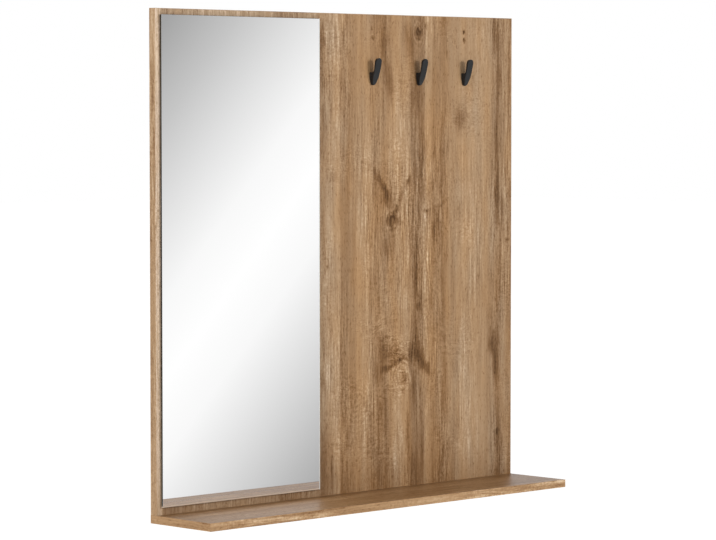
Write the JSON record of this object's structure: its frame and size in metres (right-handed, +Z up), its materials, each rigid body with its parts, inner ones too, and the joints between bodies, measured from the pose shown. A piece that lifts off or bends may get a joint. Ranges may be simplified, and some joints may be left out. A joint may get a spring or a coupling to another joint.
{
  "type": "wall mirror panel",
  "caption": "Wall-hung hallway panel of oak-decor board with a tall mirror pane, a row of black coat hooks and a shelf below.",
  "frame": {"origin": "on the rear face, halfway between the entry holes of the two keyhole plates", "axes": "+Z up, +X to the right seen from the room, +Y out of the rear face into the wall"},
  "size_m": [1, 0.172, 0.985],
  "materials": {
    "oak_decor_board": "oak-decor melamine, satin",
    "oak_decor_band": "oak-decor edge band, satin",
    "float_glass": "clear, polished edge",
    "mirror_silver": "silvered",
    "foam_tape": "matt white foam",
    "black_casting": "black powder coat, satin",
    "zinc_plated_steel": "bright zinc plate",
    "beech": "raw"
  },
  "bodies": {
    "root": {"panel_board": "oak_decor_board", "panel_edge_left": "oak_decor_band", "panel_edge_right": "oak_decor_band", "panel_edge_top": "oak_decor_band", "shelf_board": "oak_decor_board", "shelf_edge_front": "oak_decor_band", "shelf_edge_left": "oak_decor_band", "shelf_edge_right": "oak_decor_band", "mirror_glass": "float_glass", "mirror_backing": "mirror_silver", "mirror_tape": "foam_tape", "hook_left": "black_casting", "hook_middle": "black_casting", "hook_right": "black_casting", "hook_screws": "zinc_plated_steel", "shelf_dowels": "beech", "cam_bolts": "zinc_plated_steel", "cam_housings": "zinc_plated_steel", "hanger_left": "zinc_plated_steel", "hanger_right": "zinc_plated_steel", "hanger_screws": "zinc_plated_steel"}
  },
  "joints": []
}
